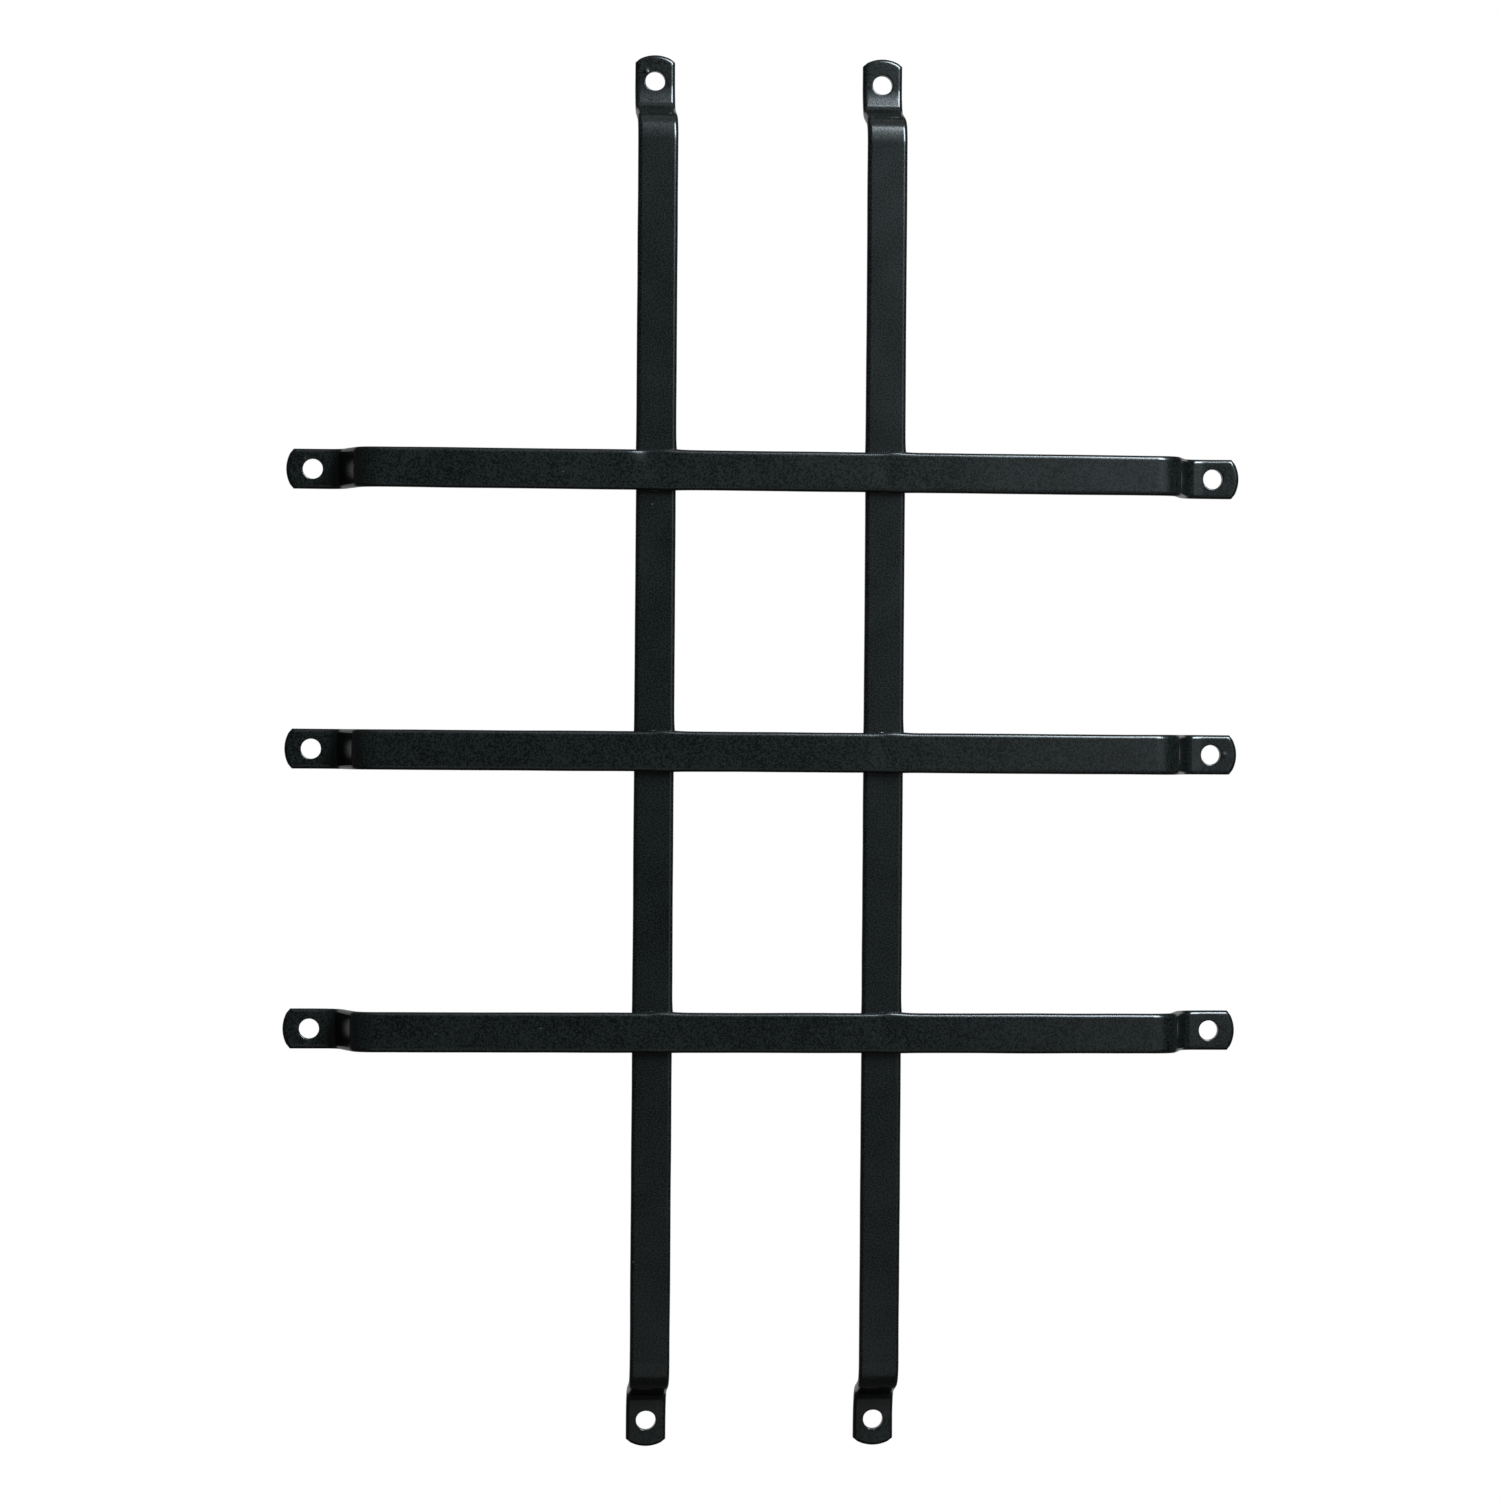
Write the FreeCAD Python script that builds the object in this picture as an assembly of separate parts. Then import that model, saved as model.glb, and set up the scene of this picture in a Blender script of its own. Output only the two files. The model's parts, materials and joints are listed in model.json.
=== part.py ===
import FreeCAD, Part
import math
import os

# Window security grille of painted steel flat bar, in millimetres.
# Two upright bars stand off the wall. Three cross bars lie on the front of
# the uprights and are resistance welded to them at every crossing. Both ends
# of every bar are joggled back to the wall and end in a drilled ear.
#
# Frame: X to the right, Z up, the wall is the plane Y = 0 and the room is on
# the -Y side. The origin is the centre of the uprights' four screw holes.

# Flat bar stock
BAR_WIDTH = 20.0
BAR_THICKNESS = 5.0
EDGE_ROUND = 2.0

# Grille layout
UPRIGHT_LENGTH = 700.0
UPRIGHT_SPACING = 115.0
CROSS_LENGTH = 482.0
CROSS_SPACING = 140.0
STANDOFF = 25.0

# Joggled ends and ears
EAR_LENGTH = 26.0
TIP_RADIUS = 17.0
TIP_EDGE_ROUND = 1.0
JOGGLE_ANGLE = 72.0
EAR_BEND_RADIUS = 6.0
BAR_BEND_RADIUS = 3.0

# Screw holes
HOLE_DIAMETER = 10.0
HOLE_FROM_TIP = 13.25
HOLE_EDGE_ROUND = 0.5

# Pressed welds: a pad of fused metal, half in each bar. It is cut back at the
# corners of the crossing and bulges out at the middle of each side
WELD_DEPTH = 0.8
WELD_BULGE = 1.2
WELD_CORNER = 2.0
WELD_RIM_ROUND = 0.6

# How far cutting tools run past the faces that they cut
OVERRUN = 2.0

HALF_WIDTH = BAR_WIDTH / 2
CROSS_STANDOFF = STANDOFF + BAR_THICKNESS


def bar_face(length, ear_depth, bar_depth, ear_radius, bar_radius, ear_start, bar_start):
    """One long face of a joggled bar, seen from its side, from top tip to bottom tip.

    Depths are distances from the wall. The two bends of each end are centred
    ear_start and bar_start from the tip.
    """
    turn = math.radians(JOGGLE_ANGLE)
    half = length / 2
    ear_centre = ear_depth + ear_radius
    bar_centre = bar_depth - bar_radius

    def ear_bend(angle):
        return ear_start + ear_radius * math.sin(angle), ear_centre - ear_radius * math.cos(angle)

    def bar_bend(angle):
        return bar_start - bar_radius * math.sin(angle), bar_centre + bar_radius * math.cos(angle)

    def end_points(side):
        stations = [(-OVERRUN, ear_depth), ear_bend(0), ear_bend(turn / 2), ear_bend(turn),
                    bar_bend(turn), bar_bend(turn / 2), bar_bend(0)]
        return [FreeCAD.Vector(-HALF_WIDTH, -depth, side * (half - along)) for along, depth in stations]

    top = end_points(1)
    bottom = end_points(-1)
    edges = []
    for tip, ear_a, ear_b, ear_c, bar_a, bar_b, bar_c in (top, bottom):
        edges += [
            Part.LineSegment(tip, ear_a).toShape(),
            Part.Arc(ear_a, ear_b, ear_c).toShape(),
            Part.LineSegment(ear_c, bar_a).toShape(),
            Part.Arc(bar_a, bar_b, bar_c).toShape(),
        ]
    edges.append(Part.LineSegment(top[-1], bottom[-1]).toShape())
    return edges, top[0], bottom[0]


def tip_cutter(length, side):
    """What is cut off one end of a bar to leave its tip a shallow arc."""
    depth = CROSS_STANDOFF + BAR_THICKNESS + 2 * OVERRUN
    half = length / 2
    reach = HALF_WIDTH + OVERRUN
    sagitta = TIP_RADIUS - math.sqrt(TIP_RADIUS ** 2 - HALF_WIDTH ** 2)
    height = sagitta + 2 * OVERRUN
    block = Part.makeBox(2 * reach, depth, height,
                         FreeCAD.Vector(-reach, OVERRUN - depth, half - sagitta - OVERRUN / 2))
    disc = Part.makeCylinder(TIP_RADIUS, depth, FreeCAD.Vector(0, OVERRUN - depth, half - TIP_RADIUS),
                             FreeCAD.Vector(0, 1, 0))
    cutter = block.cut(disc)
    if side < 0:
        cutter = cutter.mirror(FreeCAD.Vector(0, 0, 0), FreeCAD.Vector(0, 0, 1))
    return cutter


def joggled_bar(length, standoff):
    """An upright flat bar centred on the Z axis, with a drilled ear at each end."""
    turn = math.radians(JOGGLE_ANGLE)
    half = length / 2
    ear_start = EAR_LENGTH - EAR_BEND_RADIUS * math.tan(turn / 2)
    outer_bend = BAR_BEND_RADIUS + BAR_THICKNESS
    bar_start = EAR_LENGTH + standoff / math.tan(turn) + outer_bend * math.tan(turn / 2)

    front, front_top, front_bottom = bar_face(
        length, BAR_THICKNESS, standoff + BAR_THICKNESS,
        EAR_BEND_RADIUS, outer_bend, ear_start, bar_start)
    back, back_top, back_bottom = bar_face(
        length, 0.0, standoff,
        EAR_BEND_RADIUS + BAR_THICKNESS, BAR_BEND_RADIUS, ear_start, bar_start)
    ends = [Part.LineSegment(front_top, back_top).toShape(),
            Part.LineSegment(front_bottom, back_bottom).toShape()]
    outline = Part.Wire(Part.__sortEdges__(front + back + ends))
    bar = Part.Face(outline).extrude(FreeCAD.Vector(BAR_WIDTH, 0, 0))

    # Rolled edges along the whole bar
    edge_round = min(EDGE_ROUND, 0.45 * BAR_THICKNESS)
    long_edges = [edge for edge in bar.Edges
                  if abs(abs(edge.CenterOfMass.x) - HALF_WIDTH) < 0.001
                  and abs(edge.CenterOfMass.z) < half + OVERRUN / 2]
    bar = bar.makeFillet(edge_round, long_edges)

    # Arched tips with a small round on their rims
    for side in (1, -1):
        bar = bar.cut(tip_cutter(length, side))
    tip_faces = [face for face in bar.Faces
                 if face.Surface.TypeId == "Part::GeomCylinder"
                 and abs(face.Surface.Radius - TIP_RADIUS) < 0.001
                 and abs(face.Surface.Axis.y) > 0.999]
    rims = [edge for face in tip_faces for edge in face.Edges]
    bar = bar.makeFillet(TIP_EDGE_ROUND, rims)

    # Screw holes with softened mouths
    for side in (1, -1):
        drill = Part.makeCylinder(HOLE_DIAMETER / 2, BAR_THICKNESS + 2 * OVERRUN,
                                  FreeCAD.Vector(0, OVERRUN, side * (half - HOLE_FROM_TIP)),
                                  FreeCAD.Vector(0, -1, 0))
        bar = bar.cut(drill)
    mouths = [edge for edge in bar.Edges
              if edge.Curve.TypeId == "Part::GeomCircle"
              and abs(edge.Curve.Radius - HOLE_DIAMETER / 2) < 0.001
              and abs(edge.Curve.Axis.y) > 0.999]
    return bar.makeFillet(HOLE_EDGE_ROUND, mouths)


def weld_pad(x, z):
    """The fused metal of one crossing, between the upright and the cross bar."""
    span = HALF_WIDTH - WELD_CORNER
    reach = HALF_WIDTH + WELD_BULGE
    back = -(CROSS_STANDOFF - WELD_DEPTH)

    def spot(across, up):
        return FreeCAD.Vector(x + across, back, z + up)

    edges = []
    for quarter in range(4):
        angle = math.radians(90 * quarter)
        cos = round(math.cos(angle))
        sin = round(math.sin(angle))

        def turned(across, up):
            return spot(across * cos - up * sin, across * sin + up * cos)

        edges.append(Part.Arc(turned(span, HALF_WIDTH), turned(0, reach),
                              turned(-span, HALF_WIDTH)).toShape())
        edges.append(Part.LineSegment(turned(-span, HALF_WIDTH), turned(-HALF_WIDTH, span)).toShape())
    outline = Part.Wire(Part.__sortEdges__(edges))
    pad = Part.Face(outline).extrude(FreeCAD.Vector(0, -2 * WELD_DEPTH, 0))
    rims = [edge for edge in pad.Edges if abs(edge.tangentAt(edge.FirstParameter).y) < 0.001]
    return pad.makeFillet(WELD_RIM_ROUND, rims)


def upright(x, pads):
    bar = joggled_bar(UPRIGHT_LENGTH, STANDOFF)
    bar.translate(FreeCAD.Vector(x, 0, 0))
    return bar.cut(pads)


def cross_bar(z, pads):
    bar = joggled_bar(CROSS_LENGTH, CROSS_STANDOFF)
    bar.rotate(FreeCAD.Vector(0, 0, 0), FreeCAD.Vector(0, 1, 0), 90)
    bar.translate(FreeCAD.Vector(0, 0, z))
    return bar.cut(pads)


upright_places = {"left": -UPRIGHT_SPACING / 2, "right": UPRIGHT_SPACING / 2}
cross_places = {"upper": CROSS_SPACING, "middle": 0.0, "lower": -CROSS_SPACING}

welds = {(row, side): weld_pad(x, z)
         for row, z in cross_places.items() for side, x in upright_places.items()}

nodes = {}
for side, x in upright_places.items():
    nodes["upright_bar_" + side] = upright(x, [welds[row, side] for row in cross_places])
for row, z in cross_places.items():
    nodes["cross_bar_" + row] = cross_bar(z, [welds[row, side] for side in upright_places])
for (row, side), pad in welds.items():
    nodes["weld_" + row + "_" + side] = pad

os.makedirs("parts", exist_ok=True)
for name, shape in nodes.items():
    solids = shape.Solids
    if len(solids) != 1 or not solids[0].isValid():
        raise ValueError(name + " is not one valid solid")
    solids[0].exportStep("parts/" + name + ".step")
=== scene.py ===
import json
import math

import bmesh
import bpy
from mathutils import Matrix, Vector, noise


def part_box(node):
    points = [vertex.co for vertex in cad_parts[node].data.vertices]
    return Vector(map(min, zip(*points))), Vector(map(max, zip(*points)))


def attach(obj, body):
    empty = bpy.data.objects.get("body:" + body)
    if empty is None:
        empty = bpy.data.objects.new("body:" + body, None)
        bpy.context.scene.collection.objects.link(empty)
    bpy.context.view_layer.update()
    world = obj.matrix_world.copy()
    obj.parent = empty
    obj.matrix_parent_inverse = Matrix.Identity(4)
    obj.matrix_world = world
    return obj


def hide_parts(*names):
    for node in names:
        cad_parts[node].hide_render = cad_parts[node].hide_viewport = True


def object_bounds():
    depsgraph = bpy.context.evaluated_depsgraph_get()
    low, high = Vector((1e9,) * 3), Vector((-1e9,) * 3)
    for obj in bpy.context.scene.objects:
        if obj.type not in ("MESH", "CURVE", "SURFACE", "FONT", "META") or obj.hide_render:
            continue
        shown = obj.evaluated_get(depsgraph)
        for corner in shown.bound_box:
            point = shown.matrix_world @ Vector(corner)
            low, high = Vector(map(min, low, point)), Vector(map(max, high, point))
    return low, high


# Window security grille: two upright flat bars and three cross bars of black
# enamelled steel, joggled back to the wall at their ends and pressed together
# hot at every crossing. Metres; X right, Z up, the room on the -Y side.

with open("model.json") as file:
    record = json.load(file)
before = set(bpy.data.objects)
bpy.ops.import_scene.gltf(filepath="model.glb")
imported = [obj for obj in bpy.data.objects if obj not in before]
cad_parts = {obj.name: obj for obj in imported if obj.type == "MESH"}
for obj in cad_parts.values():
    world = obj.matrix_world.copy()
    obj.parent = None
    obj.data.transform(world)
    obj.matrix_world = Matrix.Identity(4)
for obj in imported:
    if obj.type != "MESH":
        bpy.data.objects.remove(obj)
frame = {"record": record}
cad_low, cad_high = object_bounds()

# ---------------------------------------------------------------- sizes

MOUNTS = {mount["name"]: mount["dims"] for mount in frame["record"]["mounts"]}
UPRIGHT_LOW, UPRIGHT_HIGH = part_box("upright_bar_left")
CROSS_LOW, CROSS_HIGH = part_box("cross_bar_middle")

WIDTH = UPRIGHT_HIGH.x - UPRIGHT_LOW.x
THICKNESS = UPRIGHT_LOW.y - CROSS_LOW.y
UPRIGHT_LENGTH = UPRIGHT_HIGH.z - UPRIGHT_LOW.z
CROSS_LENGTH = CROSS_HIGH.x - CROSS_LOW.x
UPRIGHT_STANDOFF = -UPRIGHT_LOW.y - THICKNESS
CROSS_STANDOFF = -CROSS_LOW.y - THICKNESS
HOLE_RADIUS = MOUNTS["upright_bar_holes"]["hole_r_mm"] / 1000
HOLE_FROM_TIP = (UPRIGHT_LENGTH - MOUNTS["upright_bar_holes"]["spacing_y_mm"] / 1000) / 2
UPRIGHT_X = MOUNTS["upright_bar_holes"]["spacing_x_mm"] / 2000
CROSS_Z = MOUNTS["cross_bar_outer_holes"]["spacing_y_mm"] / 2000

HALF_WIDTH = WIDTH / 2
HOLE_START = HOLE_FROM_TIP - HOLE_RADIUS
SIDES = {"left": -UPRIGHT_X, "right": UPRIGHT_X}
ROWS = {"upper": CROSS_Z, "middle": 0.0, "lower": -CROSS_Z}

# Joggled ends, as bent on the press brake
EAR_LENGTH = 0.026
TIP_RADIUS = 0.017
TIP_CORNER = 0.0011
TURN = math.radians(72)
EAR_BEND = 0.006 + THICKNESS / 2
BAR_BEND = 0.006 + THICKNESS / 2

# The ear gives a little at its hole before its sharp bend, and the bar levels
# out gently after the second one
UPRIGHT_LEAD = math.radians(17)
CROSS_LEAD = math.radians(4)
LEAD_BEND = 0.022
LEAD_FLAT = 0.003
TAIL_TURN = math.radians(22)
TAIL_BEND = 0.018

# Rolled arrises, with the room that they need at the edges of a face, and softened
# mouths. A sharp edge within a hole's reach belongs to its mouth
SHARP = math.radians(70)
ARRIS = 0.002
ARRIS_ROOM = ARRIS * 1.1
MOUTH = 0.0005
HOLE_REACH = HOLE_RADIUS * 1.05

# Spacing of the rows and columns of faces of a bar: round its holes, at its ends
# and bends, along its straight run and at its very tips
HOLE_CELL = HOLE_RADIUS / 10
BEND_CELL = 0.0008
BAR_CELL = 0.0016
RIM_CELL = 0.0035

# Swelling of a bar's edges where it was squeezed at a crossing. It is steep on
# one side of the crossing and gentle on the other, and it is less on the face
# away from the joint and on the lower or left edge
SWELL_SIDE = 0.0008
SWELL_AHEAD = 0.0032
SWELL_STEEP = 0.0036
SWELL_GENTLE = 0.0080
SWELL_FAR_SHARE = 0.75
SWELL_LOWER_SHARE = 0.4

# The shallow dish that the electrode pressed into the face away from the joint
DISH_DEPTH = 0.00015
DISH_RADIUS = 0.0062

# Unevenness of rolled and painted bar
SIDE_WAVE = 0.00012
FACE_WAVE = 0.00006
WAVE_LENGTH = 0.03
SIDE_WAVE_WIDTH = 0.05
FACE_WAVE_LAYER = 7
BAR_SEED_STEP = Vector((3.1, 1.7, 2.3))

# Where an ear that stands off the wall starts to lean
LEAN_START = 0.020

# Lumps that the hole punch left beside some holes
LUMP_HEIGHT = 0.00035
LUMP_RADIUS = 0.0012
LUMP_GAP = 0.0016

# A nick in the upper edge of the upper cross bar, where it was welded askew
NICK_DEPTH = 0.00065
NICK_RADIUS = 0.0050
NICK_OFFSET = 0.0055


def clamp(value, low=0.0, high=1.0):
    return max(low, min(high, value))


def smooth(value):
    value = clamp(value)
    return value * value * (3 - 2 * value)


def bell(distance, reach):
    return math.exp(-(distance / reach) ** 2)


def steps(start, end, size):
    """Evenly spaced places after start, up to and including end, about size apart."""
    count = max(1, round((end - start) / size))
    return [start + (end - start) * number / count for number in range(1, count + 1)]


# ---------------------------------------------------------------- the bars


class Joggle:
    """How a straight blank bends from the wall out to the standoff and runs on."""

    def __init__(self, length, standoff, lead_turn):
        self.length = length
        bends = [(LEAD_BEND, 0.0, lead_turn), (EAR_BEND, lead_turn, TURN),
                 (BAR_BEND, TURN, TAIL_TURN), (TAIL_BEND, TAIL_TURN, 0.0)]
        risen = sum(radius * abs(math.cos(end) - math.cos(start)) for radius, start, end in bends)
        risen += LEAD_FLAT * math.sin(lead_turn)
        slope = (standoff - risen) / math.sin(TURN)
        across = sum(radius * abs(math.sin(end) - math.sin(start)) for radius, start, end in bends[:2])
        across += LEAD_FLAT * math.cos(lead_turn)
        sharp_end = EAR_LENGTH + (EAR_BEND - THICKNESS / 2) * math.tan(TURN / 2) * math.cos(TURN)
        ear = sharp_end - across + THICKNESS / 2 * math.sin(TURN)
        lead, ear_bend, bar_bend, tail = [
            (radius * abs(end - start), start, end) for radius, start, end in bends]
        self.stretches = [(ear, 0.0, 0.0), lead, (LEAD_FLAT, lead_turn, lead_turn), ear_bend,
                          (slope, TURN, TURN), bar_bend, tail]
        self.straight = sum(stretch[0] for stretch in self.stretches)
        self.extra = self.straight - self.line(self.straight)[0]
        self.middle = length / 2 + self.extra
        self.flat = 2 * self.middle

    def line(self, place):
        """Distance from the tip, depth and slope of the bar's middle layer."""
        along, depth, angle = 0.0, THICKNESS / 2, 0.0
        for length, start, end in self.stretches:
            run = clamp(place, 0.0, length)
            angle = start + (end - start) * run / length
            if end == start:
                along += run * math.cos(start)
                depth += run * math.sin(start)
            else:
                radius = length / (end - start)
                along += radius * (math.sin(angle) - math.sin(start))
                depth += radius * (math.cos(start) - math.cos(angle))
            place -= run
            if place <= 0:
                break
        return along + max(place, 0.0), depth, angle

    def bend(self, place, height):
        """Where a point of the blank goes: distance along the finished bar, and depth."""
        far_end = place > self.middle
        along, depth, angle = self.line(self.flat - place if far_end else place)
        along -= height * math.sin(angle)
        depth += height * math.cos(angle)
        return self.length - along if far_end else along, depth

    def from_tip(self, place):
        """Distance of a place on the blank from the nearer tip."""
        return min(place, self.flat - place)

    def rows(self):
        """Places of the rows of faces, from one tip to the other."""
        half = [0.0, RIM_CELL] + steps(RIM_CELL, HOLE_START, BEND_CELL)
        half += steps(HOLE_START, HOLE_FROM_TIP + HOLE_RADIUS, HOLE_CELL)
        half += steps(half[-1], self.straight, BEND_CELL)
        half += steps(self.straight, self.middle, BAR_CELL)
        return half + [self.flat - place for place in reversed(half[:-1])]


def across_columns():
    """Places of the columns of faces across a bar."""
    half = [0.0] + steps(0, HOLE_RADIUS, HOLE_CELL)
    half += steps(HOLE_RADIUS, HALF_WIDTH - ARRIS_ROOM, BEND_CELL) + [HALF_WIDTH]
    return [-place for place in reversed(half[1:])] + half


def cut_blank(bm, joggle):
    """A flat plate with arched tips and punched ears, lying in XY with its length along Y."""
    columns = across_columns()
    rows = joggle.rows()
    holes = (HOLE_FROM_TIP, joggle.flat - HOLE_FROM_TIP)
    bmesh.ops.create_grid(bm, x_segments=len(columns) - 1, y_segments=len(rows) - 1, size=0.5)
    for vert in bm.verts:
        column = round((vert.co.x + 0.5) * (len(columns) - 1))
        row = round((vert.co.y + 0.5) * (len(rows) - 1))
        vert.co = (columns[column], rows[row], -THICKNESS / 2)

    # Squares round each hole open out into circles
    punched = []
    for face in bm.faces:
        centre = face.calc_center_median()
        if any(max(abs(centre.x), abs(centre.y - hole)) < HOLE_RADIUS for hole in holes):
            punched.append(face)
    bmesh.ops.delete(bm, geom=punched, context="FACES")
    for vert in bm.verts:
        for hole in holes:
            across, up = vert.co.x, vert.co.y - hole
            square = max(abs(across), abs(up))
            if 0 < square < HALF_WIDTH:
                round_share = square / math.hypot(across, up)
                share = smooth((square - HOLE_RADIUS) / (HALF_WIDTH - HOLE_RADIUS))
                scale = round_share + (1 - round_share) * share
                vert.co.x = across * scale
                vert.co.y = hole + up * scale

    # Tips arch back towards their corners
    for vert in bm.verts:
        from_tip = joggle.from_tip(vert.co.y)
        if from_tip < HOLE_START:
            sagitta = TIP_RADIUS - math.sqrt(TIP_RADIUS ** 2 - vert.co.x ** 2)
            shift = sagitta * (1 - from_tip / HOLE_START)
            vert.co.y += shift if vert.co.y < joggle.middle else -shift

    # Thickness, rolled arrises, softened hole mouths
    raised = bmesh.ops.extrude_face_region(bm, geom=bm.faces[:])
    lifted = [item for item in raised["geom"] if isinstance(item, bmesh.types.BMVert)]
    bmesh.ops.translate(bm, verts=lifted, vec=(0, 0, THICKNESS))
    bmesh.ops.recalc_face_normals(bm, faces=bm.faces[:])

    def sharp_edges(at_hole):
        found = []
        for edge in bm.edges:
            if not edge.is_manifold or edge.calc_face_angle() < SHARP:
                continue
            centre = (edge.verts[0].co + edge.verts[1].co) / 2
            inside = any(math.hypot(centre.x, centre.y - hole) < HOLE_REACH for hole in holes)
            if inside == at_hole:
                found.append(edge)
        return found

    for at_hole, size, segments in ((False, ARRIS, 6), (True, MOUTH, 3)):
        bmesh.ops.bevel(bm, geom=sharp_edges(at_hole), offset=size, offset_type="OFFSET",
                        affect="EDGES", segments=segments, profile=0.5, clamp_overlap=True,
                        material=-1)


def round_corners(bm, joggle):
    """Softens the corners of the arched tips."""
    for vert in bm.verts:
        over = clamp((abs(vert.co.x) - HALF_WIDTH + TIP_CORNER) / TIP_CORNER)
        fading = clamp(1 - joggle.from_tip(vert.co.y) / HOLE_START)
        shift = TIP_CORNER * (1 - math.sqrt(1 - over ** 2)) * fading
        vert.co.y += shift if vert.co.y < joggle.middle else -shift


def wear_blank(bm, joggle, crossings, front_crossing, marks, leans, seed):
    """Gives a blank its squeezed crossings, slight waves, leaning ears and marks.

    A mark is on the outer face: its distance from the first tip along the blank,
    or minus its distance from the far tip, its place across, its radius and its
    height. A lean is how steeply the tip of an ear stands off the wall.
    """
    centres = [crossing + joggle.extra for crossing in crossings]
    offset = seed * BAR_SEED_STEP
    onward = 1 if front_crossing else -1
    for vert in bm.verts:
        across, place, height = vert.co
        side = math.copysign(smooth(2 * abs(across) / HALF_WIDTH - 1), across)
        touching = (height < 0) == front_crossing
        share = (1 if touching else SWELL_FAR_SHARE) * (1 if across > 0 else SWELL_LOWER_SHARE)
        run = place / WAVE_LENGTH
        wave = noise.noise(Vector((across / SIDE_WAVE_WIDTH, run, 0)) + offset)
        face_wave = noise.noise(Vector((across / WAVE_LENGTH, run, FACE_WAVE_LAYER)) + offset)
        vert.co.x += side * SIDE_WAVE * wave
        vert.co.z += FACE_WAVE * face_wave
        for lean, from_tip in zip(leans, (place, joggle.flat - place)):
            vert.co.z += lean * max(0.0, LEAN_START - from_tip)
        for centre in centres:
            ahead = (place - centre) * onward - SWELL_AHEAD
            near = bell(ahead, SWELL_GENTLE if ahead > 0 else SWELL_STEEP)
            vert.co.x += side * SWELL_SIDE * near * share
            if not touching:
                dish = bell(math.hypot(across, place - centre), DISH_RADIUS)
                vert.co.z -= math.copysign(DISH_DEPTH, height) * dish
        if height > 0:
            for spot, spot_across, radius, rise in marks:
                spot_place = spot if spot > 0 else joggle.flat + spot
                vert.co.z += rise * bell(math.hypot(across - spot_across, place - spot_place), radius)


def finish_piece(bm, name, material, node):
    """Turns modelled faces into a piece of the grille that stands for a CAD node."""
    for vert in bm.verts:
        vert.co = [clamp(*bound) for bound in zip(vert.co, cad_low, cad_high)]
    bmesh.ops.recalc_face_normals(bm, faces=bm.faces[:])
    mesh = bpy.data.meshes.new(name)
    bm.to_mesh(mesh)
    bm.free()
    mesh.shade_smooth()
    mesh.materials.append(material)
    piece = bpy.data.objects.new(name, mesh)
    bpy.context.scene.collection.objects.link(piece)
    weighted = piece.modifiers.new("even_shading", "WEIGHTED_NORMAL")
    weighted.mode = "FACE_AREA"
    weighted.weight = 90
    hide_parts(node)
    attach(piece, "root")


def make_bar(name, node, joggle, crossings, front_crossing, place, marks, leans, seed, material):
    """One joggled bar. place maps across, along and depth to a point of the grille."""
    bm = bmesh.new()
    cut_blank(bm, joggle)
    round_corners(bm, joggle)
    wear_blank(bm, joggle, crossings, front_crossing, marks, leans, seed)
    for vert in bm.verts:
        along, depth = joggle.bend(vert.co.y, vert.co.z)
        vert.co = place(vert.co.x, along, depth)
    finish_piece(bm, name, material, node)


# ---------------------------------------------------------------- the welds

PAD_REACH = 0.0107
PAD_HEIGHT = 0.0013
PAD_SQUARENESS = 0.25
PAD_FLATNESS = 0.6
PAD_LUMP = 0.0003
PAD_LUMP_SCALE = 2.6
WELD_SEED_STEP = Vector((5.3, 2.9, 1.0))


def make_weld(name, node, x, z, seed, material):
    """Fused metal squeezed out between the bars, a lumpy pillow wider than the bars."""
    bm = bmesh.new()
    bmesh.ops.create_icosphere(bm, subdivisions=6, radius=1.0)
    offset = seed * WELD_SEED_STEP
    for vert in bm.verts:
        direction = vert.co.normalized()
        flat = max(abs(direction.x), abs(direction.z), 1e-6)
        squared = math.hypot(direction.x, direction.z) / flat
        reach = PAD_REACH * (1 + (squared - 1) * PAD_SQUARENESS)
        lump = PAD_LUMP * noise.noise(direction * PAD_LUMP_SCALE + offset)
        rise = math.copysign(abs(direction.y) ** PAD_FLATNESS, direction.y)
        vert.co = Vector((
            x + direction.x * (reach + lump),
            -CROSS_STANDOFF + rise * (PAD_HEIGHT + lump),
            z + direction.z * (reach + lump),
        ))
    finish_piece(bm, name, material, node)


# ---------------------------------------------------------------- paint


class Wire:
    """A number on its way through the nodes of a finish. Arithmetic on it adds Math nodes."""

    def __init__(self, finish, socket):
        self.finish = finish
        self.socket = socket

    def maths(self, operation, *values):
        inputs = dict(enumerate(values))
        return self.finish.node("Math", {"operation": operation}, inputs).out(0)

    def __add__(self, other):
        return self.maths("ADD", self, other)

    def __sub__(self, other):
        return self.maths("SUBTRACT", self, other)

    def __rsub__(self, other):
        return self.maths("SUBTRACT", other, self)

    def __mul__(self, other):
        return self.maths("MULTIPLY", self, other)

    def __gt__(self, other):
        return self.maths("GREATER_THAN", self, other)

    __radd__ = __add__
    __rmul__ = __mul__


class Made:
    """A node that a finish has made, with its outputs as wires."""

    def __init__(self, finish, node):
        self.finish = finish
        self.node = node

    def out(self, name):
        return Wire(self.finish, self.node.outputs[name])


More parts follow.
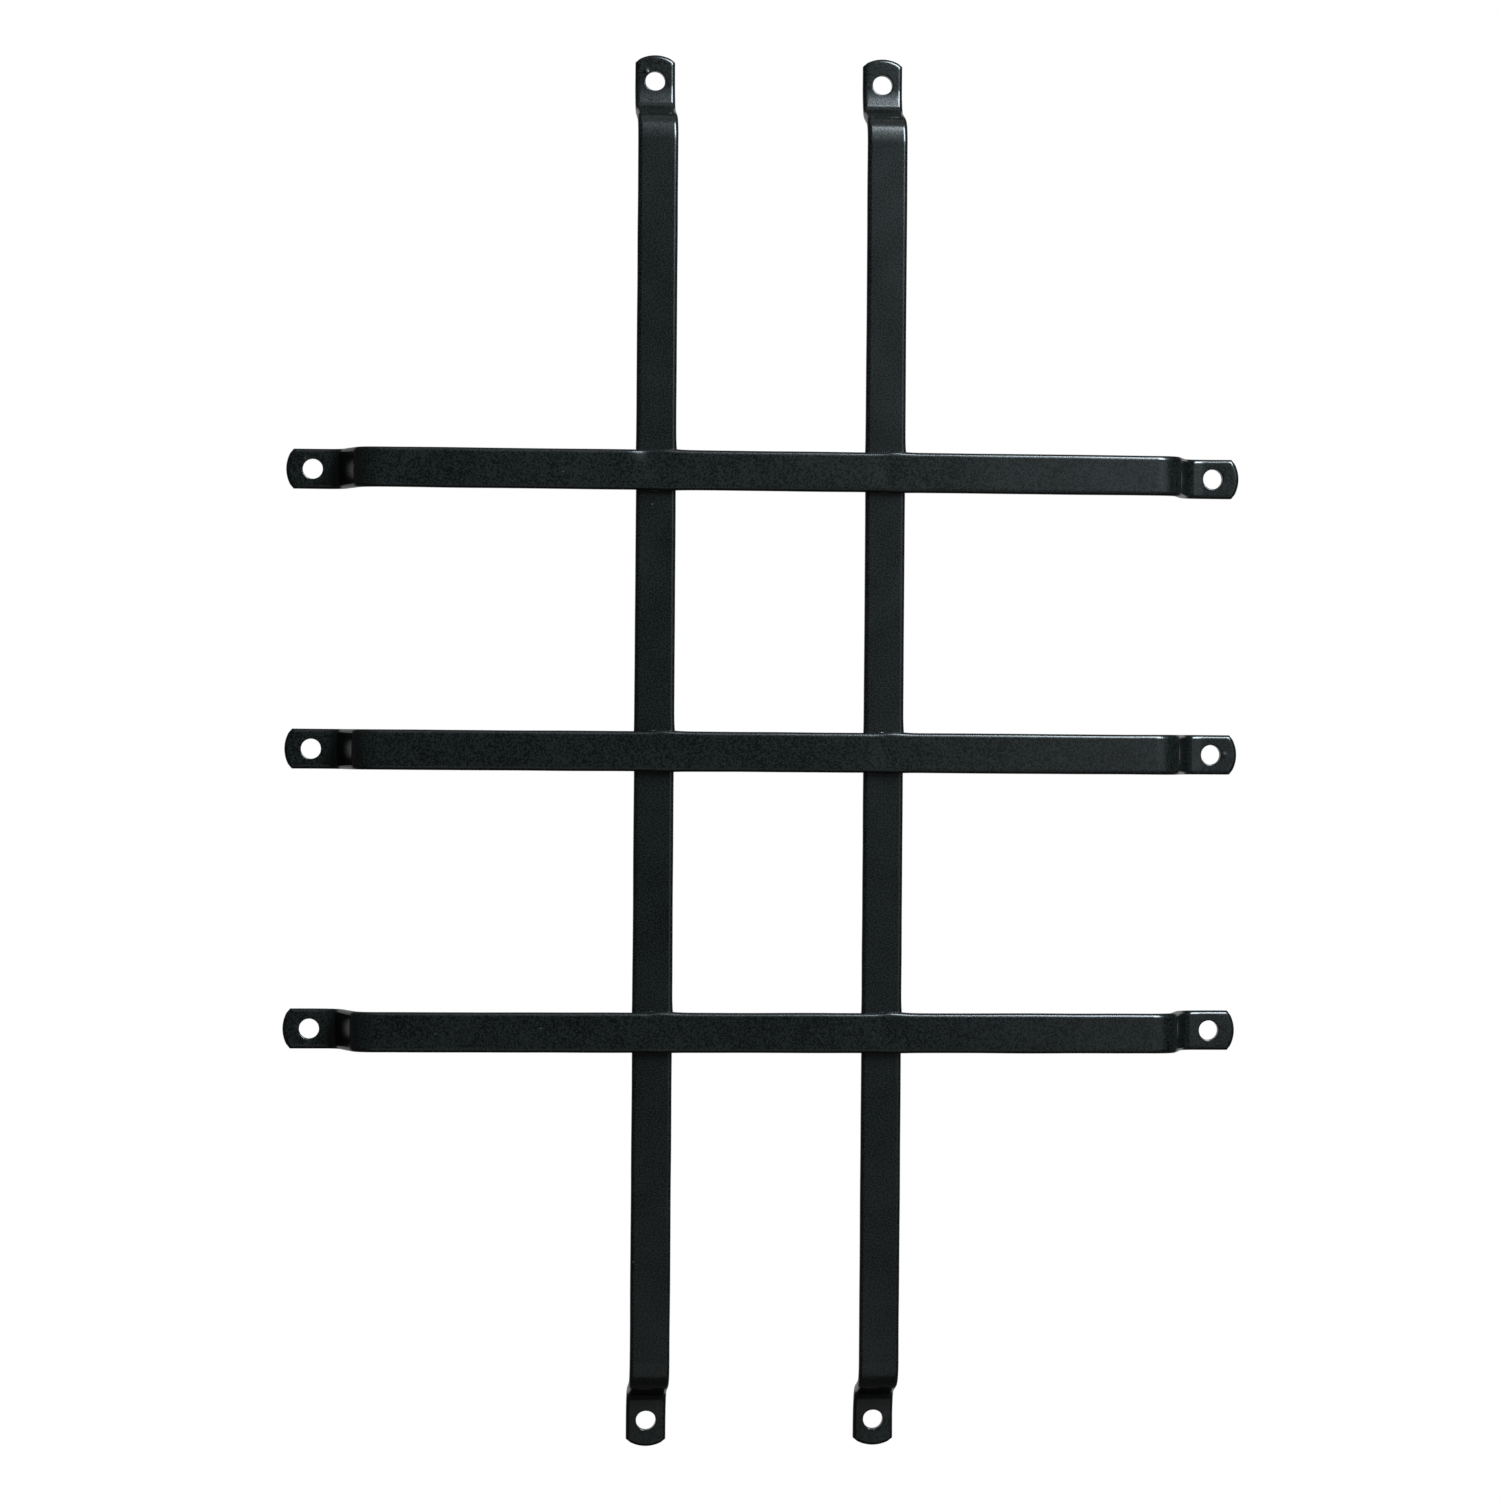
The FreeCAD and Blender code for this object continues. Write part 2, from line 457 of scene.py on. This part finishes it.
class Finish:
    """A material, or the light of the room, that is built up node by node."""

    def __init__(self, owner):
        self.owner = owner
        owner.use_nodes = True
        self.tree = owner.node_tree
        self.tree.nodes.clear()

    def node(self, kind, settings, inputs):
        made = self.tree.nodes.new("ShaderNode" + kind)
        for name, value in settings.items():
            setattr(made, name, value)
        for name, value in inputs.items():
            if isinstance(value, Wire):
                self.tree.links.new(value.socket, made.inputs[name])
            else:
                made.inputs[name].default_value = value
        return Made(self, made)

    def noise(self, where, scale, detail, roughness=0.5):
        settings = {"noise_dimensions": "3D"}
        inputs = {"Vector": where, "Scale": scale, "Detail": detail, "Roughness": roughness}
        return self.node("TexNoise", settings, inputs).out(0)

    def blend(self, share, first, second):
        inputs = {0: share, 6: first, 7: second}
        return self.node("Mix", {"data_type": "RGBA"}, inputs).out(2)

    def spread(self, value, low, high):
        """value, stretched so that low becomes 0 and high becomes 1."""
        inputs = {0: value, 1: low, 2: high, 3: 0.0, 4: 1.0}
        return self.node("MapRange", {"clamp": True}, inputs).out(0)


GRAIN_SCALE = 1300
PEEL_SCALE = 700
MOTTLE_SCALE = 45

# Dust lies in the middles of a few cells of a cellular pattern
SPECK_SCALE = 160
SPECK_CORE = 0.03
SPECK_RIM = 0.06
SPECK_CHOICE_SCALE = 900
SPECK_RARITY = 0.74
SPECK_COVER = 0.3

ENAMEL_DEEP = (0.0002, 0.0007, 0.0005, 1)
ENAMEL_PALE = (0.0052, 0.0066, 0.0062, 1)
ENAMEL_ROUGHNESS = 0.14
ENAMEL_PEEL = 0.000028
WELD_PEEL = 0.0002
PEEL_STRENGTH = 0.55
DUST = (0.16, 0.16, 0.15, 1)


def black_enamel(name, peel_height):
    """Semi-gloss black enamel with orange peel, fine grain, mottling and a little dust."""
    finish = Finish(bpy.data.materials.new(name))
    where = finish.node("TexCoord", {}, {}).out("Object")
    grain = finish.noise(where, GRAIN_SCALE, 2)
    peel = finish.noise(where, PEEL_SCALE, 3, 0.6)
    mottle = finish.noise(where, MOTTLE_SCALE, 4, 0.55)

    specks = finish.node("TexVoronoi", {"feature": "F1"}, {"Vector": where, "Scale": SPECK_SCALE})
    chosen = finish.noise(specks.out("Position"), SPECK_CHOICE_SCALE, 0) > SPECK_RARITY
    dust = (1 - finish.spread(specks.out("Distance"), SPECK_CORE, SPECK_RIM)) * chosen

    shade = finish.spread(grain * 0.85 + mottle * 0.15, 0.43, 0.57)
    paint = finish.blend(shade, ENAMEL_DEEP, ENAMEL_PALE)
    colour = finish.blend(dust * SPECK_COVER, paint, DUST)
    roughness = ENAMEL_ROUGHNESS + mottle * 0.06 + grain * 0.08 + dust * 0.3
    bump = finish.node("Bump", {}, {
        "Strength": PEEL_STRENGTH,
        "Distance": peel_height,
        "Height": peel * 0.85 + grain * 0.15,
    })
    surface = finish.node("BsdfPrincipled", {}, {
        "Base Color": colour,
        "Roughness": roughness,
        "IOR": 1.45,
        "Specular IOR Level": 0.42,
        "Normal": bump.out("Normal"),
    })
    finish.node("OutputMaterial", {}, {"Surface": surface.out("BSDF")})
    return finish.owner


FLOOR_CLOUD_SCALE = 3
FLOOR_DEEP = (0.86, 0.86, 0.86, 1)
FLOOR_PALE = (0.90, 0.90, 0.90, 1)
WHITE = (1, 1, 1, 1)


def pale_floor():
    """A plain floor that glows a little, so that it stays as pale as the backdrop."""
    finish = Finish(bpy.data.materials.new("pale_floor"))
    where = finish.node("TexCoord", {}, {}).out("Object")
    cloud = finish.noise(where, FLOOR_CLOUD_SCALE, 2)
    surface = finish.node("BsdfPrincipled", {}, {
        "Base Color": finish.blend(cloud, FLOOR_DEEP, FLOOR_PALE),
        "Roughness": 0.9,
        "Specular IOR Level": 0.1,
        "Emission Color": WHITE,
        "Emission Strength": 0.6,
    })
    finish.node("OutputMaterial", {}, {"Surface": surface.out("BSDF")})
    return finish.owner


# ---------------------------------------------------------------- the grille

enamel = black_enamel("black_enamel", ENAMEL_PEEL)
weld_enamel = black_enamel("weld_enamel", WELD_PEEL)


def lump(far_end, clock):
    """A lump beside a hole: which end, and the direction from the hole, 0 away from the tip."""
    distance = HOLE_RADIUS + LUMP_GAP
    spot = HOLE_FROM_TIP + math.cos(math.radians(clock)) * distance
    across = math.sin(math.radians(clock)) * distance
    return (-spot if far_end else spot), across, LUMP_RADIUS, LUMP_HEIGHT


upright_crossings = [UPRIGHT_LENGTH / 2 - z for z in ROWS.values()]
cross_crossings = [CROSS_LENGTH / 2 + x for x in SIDES.values()]
upright_joggle = Joggle(UPRIGHT_LENGTH, UPRIGHT_STANDOFF, UPRIGHT_LEAD)
cross_joggle = Joggle(CROSS_LENGTH, CROSS_STANDOFF, CROSS_LEAD)
nick = (cross_crossings[0] + cross_joggle.extra - NICK_OFFSET, HALF_WIDTH, NICK_RADIUS, -NICK_DEPTH)
marks = {
    "left": [lump(False, -135)],
    "right": [lump(True, 180)],
    "upper": [lump(False, 135), nick],
    "middle": [lump(True, 180)],
    "lower": [lump(False, 160), lump(False, -100)],
}
leans = {
    "left": (0.0, 0.0),
    "right": (0.014, 0.0),
    "upper": (0.0, 0.060),
    "middle": (0.0, 0.036),
    "lower": (0.0, 0.008),
}

for number, (side, x) in enumerate(SIDES.items()):
    make_bar(
        side + "_upright", "upright_bar_" + side, upright_joggle, upright_crossings, False,
        lambda across, along, depth: (x + across, -depth, UPRIGHT_HIGH.z - along),
        marks[side], leans[side], number + 1, enamel)

for number, (row, z) in enumerate(ROWS.items()):
    make_bar(
        row + "_cross_bar", "cross_bar_" + row, cross_joggle, cross_crossings, True,
        lambda across, along, depth: (CROSS_LOW.x + along, -depth, z + across),
        marks[row], leans[row], number + 4, enamel)

for number, (row, z) in enumerate(ROWS.items()):
    for side, x in SIDES.items():
        make_weld(row + "_" + side + "_weld", "weld_" + row + "_" + side, x, z,
                  number * 2 + (x > 0), weld_enamel)

# ---------------------------------------------------------------- studio

FLOOR_DROP = 0.35
FLOOR_RADIUS = 1.5
ROOM_LIGHT = 0.085

floor_mesh = bpy.data.meshes.new("floor")
bm = bmesh.new()
bmesh.ops.create_circle(bm, cap_ends=True, segments=128, radius=FLOOR_RADIUS)
bmesh.ops.translate(bm, verts=bm.verts[:], vec=(0, 0, cad_low.z - FLOOR_DROP))
bmesh.ops.recalc_face_normals(bm, faces=bm.faces[:])
bm.to_mesh(floor_mesh)
bm.free()
floor_mesh.materials.append(pale_floor())
floor = bpy.data.objects.new("floor", floor_mesh)
bpy.context.scene.collection.objects.link(floor)
floor.visible_diffuse = False
floor.visible_glossy = False


def soft_light(name, place, size, power, colour):
    """A soft panel of light, turned towards the middle of the grille."""
    light = bpy.data.lights.new(name, "AREA")
    light.shape = "RECTANGLE"
    light.size, light.size_y = size
    light.energy = power
    light.color = colour
    lamp = bpy.data.objects.new(name, light)
    lamp.location = place
    lamp.rotation_mode = "QUATERNION"
    lamp.rotation_quaternion = (Vector((0, 0, 0)) - Vector(place)).to_track_quat("-Z", "Y")
    lamp.visible_camera = False
    bpy.context.scene.collection.objects.link(lamp)


soft_light("key", (0.82, -1.52, 1.36), (0.62, 1.5), 142, (0.80, 0.93, 1.0))
soft_light("fill", (0.98, -1.92, 0.46), (1.25, 1.6), 4.6, (0.84, 0.92, 1.0))
soft_light("bounce", (0.20, -2.10, -1.30), (2.4, 1.7), 4.5, (0.95, 0.98, 1.0))
soft_light("top", (0.20, -0.40, 2.40), (2.4, 2.0), 7, (0.90, 0.96, 1.0))
soft_light("back", (0.00, 3.00, 0.00), (8.0, 4.0), 34, (1, 1, 1))

# A white backdrop to look at, with dim light from all round
room = Finish(bpy.data.worlds.new("studio"))
seen = room.node("LightPath", {}, {}).out("Is Camera Ray")
backdrop = room.node("Background", {}, {
    "Color": WHITE,
    "Strength": ROOM_LIGHT + seen * (1 - ROOM_LIGHT),
})
room.node("OutputWorld", {}, {"Surface": backdrop.out("Background")})
bpy.context.scene.world = room.owner

CAMERA_PLACE = (-0.2356, -2.5137, 0.01235)
CAMERA_YAW = -5.198
CAMERA_PITCH = -0.261
CAMERA_ROLL = -0.417
CAMERA_LENS = 120

camera_data = bpy.data.cameras.new("camera")
camera_data.sensor_width = 36
camera_data.lens = CAMERA_LENS
camera = bpy.data.objects.new("camera", camera_data)
camera.matrix_world = (
    Matrix.Translation(CAMERA_PLACE)
    @ Matrix.Rotation(math.radians(CAMERA_YAW), 4, "Z")
    @ Matrix.Rotation(math.radians(CAMERA_PITCH), 4, "X")
    @ Matrix.Rotation(math.radians(CAMERA_ROLL), 4, "Y")
    @ Matrix.Rotation(math.radians(90), 4, "X")
)
bpy.context.scene.collection.objects.link(camera)
bpy.context.scene.camera = camera
bpy.context.scene.view_settings.view_transform = "Standard"
